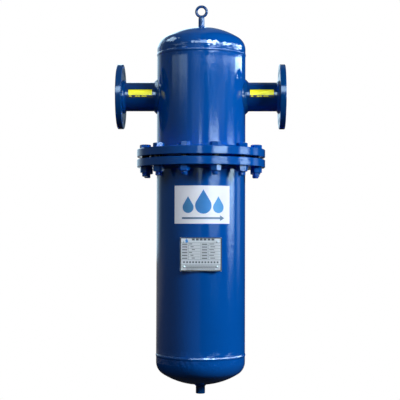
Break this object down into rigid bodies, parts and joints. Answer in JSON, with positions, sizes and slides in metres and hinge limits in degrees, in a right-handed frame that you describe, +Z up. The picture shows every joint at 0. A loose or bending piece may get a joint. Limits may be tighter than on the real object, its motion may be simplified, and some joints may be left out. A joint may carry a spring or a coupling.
{
  "type": "compressed air water filter",
  "caption": "Welded steel vessel that takes water out of compressed air: flanged side nozzles, a bolted body joint, coalescing elements, a lifting eye and a bottom drain.",
  "frame": {"origin": "centre of the inlet flange's raised face, on the pipeline's axis", "axes": "+X along the pipeline from inlet to outlet, +Y away from the side with the nameplate, +Z up along the vessel"},
  "size_m": [0.52, 0.395, 1.197],
  "materials": {
    "vessel_paint": "thick glossy deep blue enamel with a slight orange peel, over welds and bolts alike",
    "gasket_sheet": "dull dark compressed sheet",
    "plate_metal": "satin silver sheet, its table in darker lines",
    "decal_film": "white printed film with plain blue shapes",
    "label_film": "yellow and near-black printed film",
    "inner_primer": "flat grey primer",
    "zinc_steel": "zinc plated",
    "seal_rubber": "black nitrile",
    "cap_aluminium": "die cast",
    "cage_steel": "punched stainless sheet",
    "filter_media": "pleated glass-fibre paper",
    "drain_foam": "open foam sleeve"
  },
  "bodies": {
    "root": {"upper_head": "vessel_paint", "upper_shell": "vessel_paint", "top_seam_weld": "vessel_paint", "lifting_boss": "vessel_paint", "lifting_boss_weld": "vessel_paint", "lifting_eye": "vessel_paint", "inlet_pipe": "vessel_paint", "outlet_pipe": "vessel_paint", "inlet_flange": "vessel_paint", "outlet_flange": "vessel_paint", "inlet_welds": "vessel_paint", "outlet_welds": "vessel_paint", "upper_body_flange": "vessel_paint", "upper_flange_welds": "vessel_paint", "lower_body_flange": "vessel_paint", "lower_flange_welds": "vessel_paint", "body_bolts": "vessel_paint", "body_nuts": "vessel_paint", "lower_shell": "vessel_paint", "bottom_seam_weld": "vessel_paint", "lower_head": "vessel_paint", "drain_socket": "vessel_paint", "drain_socket_weld": "vessel_paint", "nameplate_bracket": "vessel_paint", "body_gasket": "gasket_sheet", "plenum_gasket": "gasket_sheet", "nameplate": "plate_metal", "nameplate_rivets": "plate_metal", "front_decal": "decal_film", "inlet_label": "label_film", "outlet_label": "label_film", "inlet_elbow": "inner_primer", "plenum_cover": "inner_primer", "tube_plate": "inner_primer", "splash_plate": "inner_primer", "splash_plate_lugs": "inner_primer", "plenum_screws": "zinc_steel", "rod_bridges": "zinc_steel", "tie_rods": "zinc_steel", "rod_nuts": "zinc_steel", "seal_washers": "seal_rubber", "spigot_o_rings": "seal_rubber", "element_1_top_cap": "cap_aluminium", "element_1_bottom_cap": "cap_aluminium", "element_1_core": "cage_steel", "element_1_cage": "cage_steel", "element_1_media": "filter_media", "element_1_sleeve": "drain_foam", "element_2_top_cap": "cap_aluminium", "element_2_bottom_cap": "cap_aluminium", "element_2_core": "cage_steel", "element_2_cage": "cage_steel", "element_2_media": "filter_media", "element_2_sleeve": "drain_foam", "element_3_top_cap": "cap_aluminium", "element_3_bottom_cap": "cap_aluminium", "element_3_core": "cage_steel", "element_3_cage": "cage_steel", "element_3_media": "filter_media", "element_3_sleeve": "drain_foam"}
  },
  "joints": []
}
